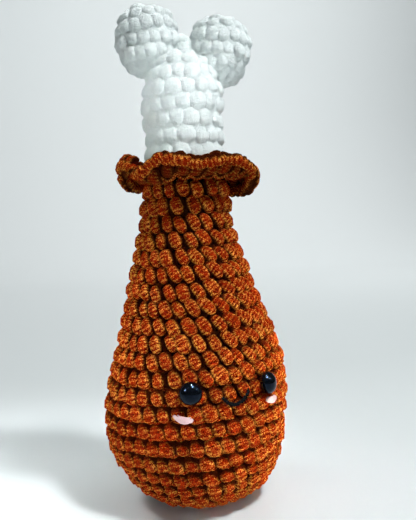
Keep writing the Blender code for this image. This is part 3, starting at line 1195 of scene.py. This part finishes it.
@dataclass
class Frill:
    """The wavy frill round the neck: a ribbon of crochet with a chain along its rim.

    Attributes:
        yarn: The model of its yarn.
        seed: Of its unevenness.
        turn: Stitches by which a length of yarn is turned out of its place.
        shift: Share of the ribbon by which it is nearer the neck or the rim.
        swell: Share by which it is thicker or thinner.
    """

    yarn: YarnModel
    seed: int = 23
    turn: float = 0.06
    shift: float = 0.025
    swell: float = 0.10

    def section(self, angle: Array) -> Array:
        """The bend and the rim of the ribbon's section at these angles, in the last axis."""
        table = np.array(FRILL_SECTIONS)
        table = np.vstack([table[-3:] - (360, 0, 0, 0, 0), table, table[:3] + (360, 0, 0, 0, 0)])
        knots, values = np.radians(table[:, 0]), table[:, 1:]
        slopes = np.zeros_like(values)
        slopes[1:-1] = (values[2:] - values[:-2]) / (knots[2:] - knots[:-2])[:, None]
        angle = -pi + (angle + pi) % tau
        index = np.clip(np.searchsorted(knots, angle) - 1, 1, len(knots) - 3)
        step = (knots[index + 1] - knots[index])[..., None]
        t = (angle - knots[index])[..., None] / step
        return (
            (1 + 2 * t) * (1 - t) ** 2 * values[index]
            + t * (1 - t) ** 2 * step * slopes[index]
            + t * t * (3 - 2 * t) * values[index + 1]
            + t * t * (t - 1) * step * slopes[index + 1]
        )

    def place(self, angle: Array, share: Array, lift: Array) -> tuple[Array, Array]:
        """Points over the ribbon's upper side, or under it where the lift is negative.

        Args:
            angle: Angles round the neck.
            share: Of the way from the neck to the rim.
            lift: Metres from the ribbon's middle.

        Returns:
            The points, and the direction that faces out of the ribbon on the lift's side.
        """
        angle, share, lift = np.broadcast_arrays(angle, share, lift)
        section = self.section(angle)
        root, bend, rim = np.array(FRILL_ROOT), section[..., :2], section[..., 2:]
        t = share[..., None]
        point = root * (1 - t) ** 2 + bend * (2 * t * (1 - t)) + rim * t**2
        along = unit((bend - root) * (1 - t) + (rim - bend) * t)
        upper = np.stack([-along[..., 1], along[..., 0]], -1)
        point = point + upper * lift[..., None]
        around = np.stack([np.sin(angle), -np.cos(angle)], -1)
        places = np.concatenate([around * point[..., :1], point[..., 1:]], -1)
        facing = upper * np.sign(lift + 1e-9)[..., None]
        outwards = np.concatenate([around * facing[..., :1], facing[..., 1:]], -1)
        return places + wander(places[..., 2]), outwards

    def core(self) -> bpy.types.Object:
        """The closed ribbon under the stitches."""
        angle = np.linspace(0.0, tau, FRILL_CORE_SIDES, endpoint=False)[None, :]
        under = [(share, -FRILL_HALF) for share in np.linspace(-0.1, 0.97, 12)]
        over = [(share, FRILL_HALF) for share in np.linspace(0.97, -0.25, 12)]
        rings = np.array([*under, (1.0, 0.0), *over])
        points, _ = self.place(angle, rings[:, :1], rings[:, 1:])
        return closed_grid("frill_core", points)

    def lengths(
        self,
        count: int,
        path: Array,
        width: float,
        height: float,
        rng: np.random.Generator,
        phase: float,
        shade: float,
    ) -> Lengths:
        """Lengths of yarn set round the ribbon.

        Args:
            count: How many.
            path: Control points: stitches across, share of the ribbon, and lift.
            width: Half the yarn's breadth.
            height: Half the yarn's thickness.
            rng: Gives the unevenness.
            phase: Stitches by which they are all turned.
            shade: Metres out of the outline that set their painted shade; lower is darker.

        Returns:
            The lengths.
        """
        pitch = tau / count
        angle = (np.arange(count) + phase + rng.normal(0, self.turn, count)) * pitch
        across, share, lift = (part[None, :] for part in path.T)
        share = share + rng.normal(0, self.shift, count)[:, None]
        angles = angle[:, None] + across * pitch
        points, outwards = self.place(angles, share, lift)
        swell = 1 + rng.normal(0, self.swell, count)
        painted_shade_lifts = np.full(points.shape[:2], shade)
        return Lengths(points, outwards, width * swell, height * swell, painted_shade_lifts)

    def build(self) -> list[bpy.types.Object]:
        """Makes the ribbon and its yarn.

        Returns:
            The pieces.
        """
        rng = np.random.default_rng(self.seed)
        core = Finish.BROWN_CORE.on(self.core())
        pieces = [hand_in(core, "meat")]
        parts = []
        # Painted shade: the underside, the feet and the root loops are painted darker than the
        # upper side.
        for side, phase, depth in ((-FRILL_HALF, 0.0, -0.0036), (FRILL_HALF, 0.5, -0.0026)):
            for count, path, width, height, shade in (
                (FRILL_FACE_STITCHES, FRILL_LUMP, 0.0044, 0.0021, depth - 0.0004),
                (FRILL_FACE_STITCHES, FRILL_FOOT, 0.0027, 0.0015, depth - 0.0007),
                (FRILL_RIM_STITCHES, FRILL_BEAD, 0.0031, 0.0025, -0.0026),
            ):
                path = np.array(path) * (1.0, 1.0, side)
                parts.append(self.lengths(count, path, width, height, rng, phase, shade))
        scallop = np.array(FRILL_SCALLOP)
        parts.append(self.lengths(FRILL_ROOT_LOOPS, scallop, 0.0012, 0.0013, rng, 0.1, -0.0028))
        yarn = worked("frill_yarn", self.yarn, parts, Finish.BROWN_YARN, rng)
        pieces.append(hand_in(yarn, "meat"))
        return pieces


@dataclass
class Bone:
    """The white bone: a shaft with a round top, two knobs, and the neck between them.

    Its cores wear the yarn's own finish, because they show between its full, pale stitches.
    """

    yarn: YarnModel
    seed: int = 37
    hand: Handwork = field(
        default_factory=lambda: Handwork(
            shift=0.05, swell=0.06, lift=0.00020, plump=1.2, reach=1.17, flat=0.9
        )
    )

    def frame(self) -> Matrix:
        """Where the bone stands: on the neck, with its knobs turned a little from the face."""
        aside = Vector(wander(np.array(SEAT_Z)))
        return Matrix.Translation(aside) @ Matrix.Rotation(BONE_TURN, 4, "Z")

    def fabrics(self) -> dict[str, RoundFabric]:
        """The bone's crocheted parts by name."""
        stand = self.frame()
        made = {"shaft": RoundFabric(Outline(SHAFT_OUTLINE), SHAFT_STITCHES, matrix=stand)}
        for name, (middle, tilt) in KNOBS.items():
            place = stand @ Matrix.Translation(middle) @ Matrix.Rotation(tilt, 4, "Y")
            made[name] = RoundFabric(Outline(KNOB_OUTLINE), KNOB_STITCHES, matrix=place)
        place = stand @ Matrix.Translation(BRIDGE_MIDDLE) @ Matrix.Rotation(pi / 2, 4, "Y")
        made["bridge"] = RoundFabric(Outline(BRIDGE_OUTLINE), BRIDGE_STITCHES, matrix=place)
        return made

    def build(self) -> list[bpy.types.Object]:
        """Makes each part's core and stitches.

        Returns:
            The pieces.
        """
        rng = np.random.default_rng(self.seed)
        pieces = []
        for name, fabric in self.fabrics().items():
            core = Finish.WHITE_YARN.on(fabric.core(f"{name}_core", BONE_CORE_DEPTH))
            lengths = crochet(fabric, range(len(fabric.stitches)), rng, self.hand)
            yarn = worked(f"{name}_yarn", self.yarn, lengths, Finish.WHITE_YARN, rng)
            pieces += [hand_in(core, "bone"), hand_in(yarn, "bone")]
        return pieces


@dataclass
class Face:
    """Two domed eyes, a stitched smile and two stitched cheeks, set on the belly."""

    fabric: RoundFabric
    seed: int = 5

    def spot(self, angle: float, height: float, lift: float) -> Matrix:
        """A place on the belly: Z out of it, X to the right and Y up."""
        distance = self.fabric.outline.at_height(height)
        section, out = self.fabric.outline.place(np.array(distance))
        radius, z = section + out * lift
        around = Vector((sin(angle), -cos(angle), 0.0))
        outwards = around * out[0] + Vector((0.0, 0.0, out[1]))
        right = Vector((cos(angle), sin(angle), 0.0))
        place = around * radius + Vector((0.0, 0.0, z))
        place += Vector(wander(np.array(place.z)))
        turn = Matrix((right, outwards.cross(right), outwards)).transposed().to_4x4()
        return Matrix.Translation(place) @ turn

    def eye(self, side: str) -> bpy.types.Object:
        """A safety eye: a shallow dome on a thin rim that is a little narrower behind."""
        angle, height, turn = EYES[side]
        deselect_all()
        bpy.ops.mesh.primitive_uv_sphere_add(segments=64, ring_count=48, radius=EYE_RADIUS)
        eye = bpy.context.object
        eye.name = f"eye_{side}_dome"
        bpy.ops.object.mode_set(mode="EDIT")
        bpy.ops.mesh.select_all(action="SELECT")
        bpy.ops.mesh.bisect(
            plane_co=(0, 0, 0), plane_no=(0, 0, 1), clear_inner=True, use_fill=True, threshold=1e-6
        )
        bpy.ops.mesh.select_all(action="SELECT")
        bpy.ops.transform.resize(value=(1, 1, EYE_DOME / EYE_RADIUS))
        bpy.ops.mesh.select_mode(type="FACE")
        bpy.ops.object.mode_set(mode="OBJECT")
        for face in eye.data.polygons:
            face.select = face.normal.z < -0.99
        bpy.ops.object.mode_set(mode="EDIT")
        bpy.ops.mesh.inset(thickness=EYE_INSET, depth=0.0)
        bpy.ops.mesh.extrude_region_move(TRANSFORM_OT_translate={"value": (0, 0, -EYE_RIM)})
        bpy.ops.transform.resize(value=(EYE_TAPER, EYE_TAPER, 1))
        bpy.ops.object.mode_set(mode="OBJECT")
        bevel = eye.modifiers.new("soft edges", "BEVEL")
        bevel.width = EYE_BEVEL
        bevel.segments = 3
        bevel.limit_method = "ANGLE"
        bevel.angle_limit = radians(35)
        bpy.context.view_layer.objects.active = eye
        bpy.ops.object.modifier_apply(modifier=bevel.name)
        stand = self.spot(angle, height, -EYE_SINK) @ Matrix.Rotation(turn, 4, "Y")
        eye.data.transform(stand)
        eye.data.shade_smooth()
        return hand_in(Finish.EYE.on(eye), f"eye_{side}")

    def smile(self) -> bpy.types.Object:
        """Two plies of black thread twisted together, laid over the stitches in an arc."""
        across = np.linspace(-1, 1, 81)
        middle_angle, middle_height = SMILE_MIDDLE
        height = middle_height + SMILE_RISE * np.abs(across) ** 2.5 + SMILE_SLANT * across
        distance = np.array([self.fabric.outline.at_height(h) for h in height])
        radius = self.fabric.outline.place(distance)[0][:, 0]
        angle = middle_angle + across * SMILE_WIDTH / 2 / radius
        end = np.clip((np.abs(across) - SMILE_DIP_FROM) / (1 - SMILE_DIP_FROM), 0, 1)
        ease = SMILE_EASE * np.cos(across * 9.0)
        lift = SMILE_LIFT - SMILE_DIP * end**1.5 + ease
        points, outwards = self.fabric.place(angle, distance, lift)
        along = unit(np.gradient(points, axis=0))
        sideways = unit(np.cross(along, outwards))
        turns = np.linspace(0, SMILE_TURNS * tau, len(across))[:, None]
        plies = []
        for ply, phase in enumerate((0.0, pi)):
            offset = sideways * np.cos(turns + phase) + outwards * np.sin(turns + phase)
            plies.append(self.tube(f"smile_{ply}", points + offset * PLY_OFFSET, PLY_RADIUS))
        piece = Finish.SMILE.on(together("smile_thread", plies))
        return hand_in(piece, "smile")

    @staticmethod
    def tube(name: str, points: Array, radius: float, sides: int = 10) -> bpy.types.Object:
        """A round tube along points, closed at both ends, with the UV map "yarn"."""
        along = unit(np.gradient(points, axis=0))
        aside = unit(np.cross(along, np.array((0.2, 0.3, 1.0))))
        other = np.cross(along, aside)
        turn = np.linspace(0, tau, sides, endpoint=False)[None, :, None]
        taper = np.ones(len(points))
        taper[[0, -1]] = 0.5
        ring = aside[:, None] * np.cos(turn) + other[:, None] * np.sin(turn)
        grid = points[:, None] + ring * radius * taper[:, None, None]
        made = closed_grid(name, grid)
        layer = made.data.uv_layers.new(name="yarn")
        metres = np.concatenate([[0], np.cumsum(np.linalg.norm(np.diff(points, axis=0), axis=1))])
        corners = np.zeros(len(made.data.loops), np.int32)
        made.data.loops.foreach_get("vertex_index", corners)
        ring_of = np.minimum(corners // sides, len(points) - 1)
        uv = np.stack([(corners % sides) / sides, metres[ring_of]], -1)
        layer.data.foreach_set("uv", uv.reshape(-1).astype(np.float32))
        return made

    def cheek(self, side: str, yarn: YarnModel) -> bpy.types.Object:
        """A leaf of satin stitch: strands side by side, longest in the middle."""
        angle, height, tilt = CHEEKS[side]
        rng = np.random.default_rng(self.seed + len(side))
        place = self.spot(angle, height, 0.0) @ Matrix.Rotation(tilt, 4, "Z")
        distance = self.fabric.outline.at_height(height)
        radius = float(self.fabric.outline.place(np.array(distance))[0][0])
        rows = np.linspace(-1, 1, CHEEK_STRANDS)
        ends = np.linspace(-1, 1, 7)
        half = CHEEK_LENGTH / 2 * np.sqrt(1 - 0.62 * rows**2)
        x = half[:, None] * ends[None, :] * 0.98
        fan = 0.72 + 0.28 * np.cos(ends * pi / 2)
        y = rows[:, None] * CHEEK_HEIGHT / 2 * fan - CHEEK_SAG * (1 - ends**2)
        tuck = CHEEK_TUCK * np.abs(ends) ** 5
        uneven = rng.normal(0, 0.00008, CHEEK_STRANDS)[:, None]
        z = CHEEK_LIFT - tuck[None, :] - x**2 / (2 * radius) + uneven
        local = np.stack([x, y, z], -1)
        turn = np.array(place.to_3x3())
        paths = local @ turn.T + np.array(place.translation)
        outwards = np.broadcast_to(turn[:, 2], paths.shape)
        lengths = Lengths(
            paths,
            outwards,
            np.full(CHEEK_STRANDS, CHEEK_HALF_WIDTH),
            np.full(CHEEK_STRANDS, CHEEK_HALF_HEIGHT),
            np.zeros(paths.shape[:2]),
        )
        piece = Finish.CHEEK.on(yarn.lay(f"cheek_{side}_thread", lengths, rng))
        return hand_in(piece, f"cheek_{side}")

    def build(self) -> list[bpy.types.Object]:
        """Makes the eyes, the smile and the cheeks.

        Returns:
            The pieces.
        """
        fine = YarnModel(sides=10, rings=15, squareness=0.6)
        pieces = [self.eye(side) for side in EYES]
        pieces.append(self.smile())
        pieces += [self.cheek(side, fine) for side in CHEEKS]
        return pieces


# --- The studio --------------------------------------------------------------------------------


@dataclass(frozen=True)
class Lamp:
    """A square lamp.

    Attributes:
        name: Its name.
        place: Where it hangs.
        size: The length of its side.
        watts: Its power.
        towards: What it faces.
        spread: How wide its beam opens, in degrees.
        glints: Whether it is only seen in what is polished, and lights nothing else.
    """

    name: str
    place: Place
    size: float
    watts: float
    towards: Place = (0.0, 0.0, 0.12)
    spread: float = 180.0
    glints: bool = False

    def hang(self) -> None:
        """Puts it in the scene."""
        data = bpy.data.lights.new(self.name, "AREA")
        data.shape = "SQUARE"
        data.size = self.size
        data.spread = radians(self.spread)
        data.energy = self.watts
        lamp = linked(self.name, data)
        lamp.location = self.place
        lamp.visible_glossy = self.glints
        lamp.visible_diffuse = not self.glints
        line = Vector(self.towards) - Vector(self.place)
        lamp.rotation_euler = line.to_track_quat("-Z", "Y").to_euler()


# The main light from above, narrow beams that lift the shade low down, on the floor and on the
# bone, a wash on the wall, and small lights that only the eyes mirror.
LAMPS = (
    Lamp("ceiling", (0.34, -0.74, 1.40), 0.18, 30.0),
    Lamp("window", (1.10, -0.65, 0.06), 0.12, 0.25, (0.0, 0.0, 0.045), spread=11),
    Lamp("left_panel", (-1.10, -0.20, 0.10), 0.12, 0.13, (0.0, 0.0, 0.08), spread=12),
    Lamp("floor_fill", (-0.55, 0.30, 0.90), 0.25, 0.30, (-0.16, 0.09, 0), spread=26),
    Lamp("low_fill_0", (-0.75, -0.85, 0.16), 0.05, 0.0105, (0.0, 0.0, 0.238), spread=4.6),
    Lamp("low_fill_1", (0.35, -0.85, 0.16), 0.05, 0.0012, (0.0, 0.0, 0.226), spread=4.6),
    Lamp("wall_wash", (1.5, 1.0, 1.9), 2.2, 40.0, (1.2, 3.0, 0.5)),
    Lamp("spot_0", (0.06, -0.12, 1.10), 0.05, 50.0, glints=True),
    Lamp("spot_1", (0.02, -0.48, 0.95), 0.05, 30.0, glints=True),
    Lamp("spot_2", (-0.92, -0.17, 0.57), 0.05, 14.0, glints=True),
    Lamp("spot_3", (0.52, -0.63, 0.67), 0.05, 11.0, glints=True),
)


@dataclass
class Studio:
    """A pale floor that sweeps up to a pale wall, soft light, and the photograph's viewpoint.

    Attributes:
        azimuth: Of the camera, from the middle of the face.
        distance: Of the camera from the toy's axis.
        height: Of the camera.
        yaw: How far it looks to the right of the axis.
        pitch: How far it looks down.
        roll: How far it leans to the right.
        focal_pixels: Its focal length.
        long_side_pixels: The height of the photograph.
        sheet_size: The side of the floor.
        wall_height: How far its back edge goes up.
        bend: The radius of the bend between them.
    """

    azimuth: float = radians(-23.0)
    distance: float = 0.402
    height: float = 0.153
    yaw: float = radians(1.17)
    pitch: float = radians(2.23)
    roll: float = radians(1.95)
    focal_pixels: float = 694.0
    long_side_pixels: float = 520.0
    sheet_size: float = 6.0
    wall_height: float = 3.0
    bend: float = 1.2

    def camera(self) -> None:
        """Sets the camera where the photograph was taken from."""
        data = bpy.data.cameras.new("camera")
        data.sensor_width = 36.0
        data.lens = self.focal_pixels * data.sensor_width / self.long_side_pixels
        data.clip_start = 0.01
        camera = linked("camera", data)
        level = Vector((-sin(self.azimuth), cos(self.azimuth), 0.0))
        right = Vector((cos(self.azimuth), sin(self.azimuth), 0.0))
        place = Vector((0.0, 0.0, self.height)) - level * self.distance
        above = Vector((0.0, 0.0, 1.0))
        forward = level * cos(self.yaw) + right * sin(self.yaw)
        aside = right * cos(self.yaw) - level * sin(self.yaw)
        looking = forward * cos(self.pitch) - above * sin(self.pitch)
        up = above * cos(self.pitch) + forward * sin(self.pitch)
        up = up * cos(self.roll) + aside * sin(self.roll)
        across = looking.cross(up)
        turn = Matrix((across, up, -looking)).transposed().to_4x4()
        camera.matrix_world = Matrix.Translation(place) @ turn
        bpy.context.scene.camera = camera

    def sweep(self) -> None:
        """The floor and the wall: one bent sheet of pale paper, painted darker below and lighter
        up the wall.
        """
        deselect_all()
        bpy.ops.mesh.primitive_plane_add(size=self.sheet_size, location=(0, 0, 0))
        sheet = bpy.context.object
        sheet.name = "paper_sweep"
        bpy.ops.object.mode_set(mode="EDIT")
        bpy.ops.mesh.select_mode(type="EDGE")
        bpy.ops.mesh.select_all(action="DESELECT")
        bpy.ops.object.mode_set(mode="OBJECT")
        for edge in sheet.data.edges:
            ends = [sheet.data.vertices[k].co.y for k in edge.vertices]
            edge.select = min(ends) > 0
        bpy.ops.object.mode_set(mode="EDIT")
        upwards = (0, 0, self.wall_height)
        bpy.ops.mesh.extrude_region_move(TRANSFORM_OT_translate={"value": upwards})
        bpy.ops.object.mode_set(mode="OBJECT")
        bevel = sheet.modifiers.new("bend", "BEVEL")
        bevel.width = self.bend
        bevel.segments = 16
        bpy.ops.object.modifier_apply(modifier=bevel.name)
        sheet.data.shade_smooth()
        recipe = Recipe("pale paper")
        place = recipe.place()
        tooth = recipe.noise(place, 700.0, detail=2.0)
        # Painted light and shade: the floor is painted darker and the wall lighter, in place of
        # how the lamps light them.
        floor = recipe.mix(tooth, (0.52, 0.565, 0.57), (0.54, 0.585, 0.59))
        wall = recipe.mix(tooth, (0.80, 0.845, 0.85), (0.83, 0.875, 0.88))
        back = recipe.part_of(place, 1)
        fade_from, fade_over = 0.3, 0.6  # metres behind the toy, and the share gained a metre
        colour = recipe.mix(((back - fade_from) * fade_over).clamped(), floor, wall)
        recipe.finish({"Base Color": colour, "Roughness": 0.55, "Specular IOR Level": 0.3})
        Recipe.dress(sheet, recipe.material)

    def lamps(self) -> None:
        """Hangs every lamp."""
        for lamp in LAMPS:
            lamp.hang()

    def world(self) -> None:
        """Even pale light from all round."""
        world = bpy.data.worlds.new("soft light")
        world.use_nodes = True
        background = world.node_tree.nodes["Background"]
        background.inputs["Color"].default_value = (0.80, 0.86, 0.88, 1.0)
        background.inputs["Strength"].default_value = 0.15
        bpy.context.scene.world = world

    def build(self) -> None:
        """Sets up the whole studio."""
        self.camera()
        self.sweep()
        self.lamps()
        self.world()
        bpy.context.scene.view_settings.view_transform = "Standard"


def main() -> None:
    """Builds the toy and the studio, and logs how many pieces each part made."""
    logging.basicConfig(level=logging.INFO, format="%(name)s: %(message)s")
    yarn = YarnModel()
    belly = Belly(yarn)
    builders: tuple[Callable[[], list[bpy.types.Object]], ...] = (
        belly.build,
        Frill(yarn).build,
        Bone(YarnModel(sides=12, rings=11, squareness=0.25, fluff=0.07)).build,
        Face(belly.fabric).build,
    )
    for build in builders:
        log.info("made %d pieces", len(build()))
    Studio().build()


if __name__ == "__main__":
    main()
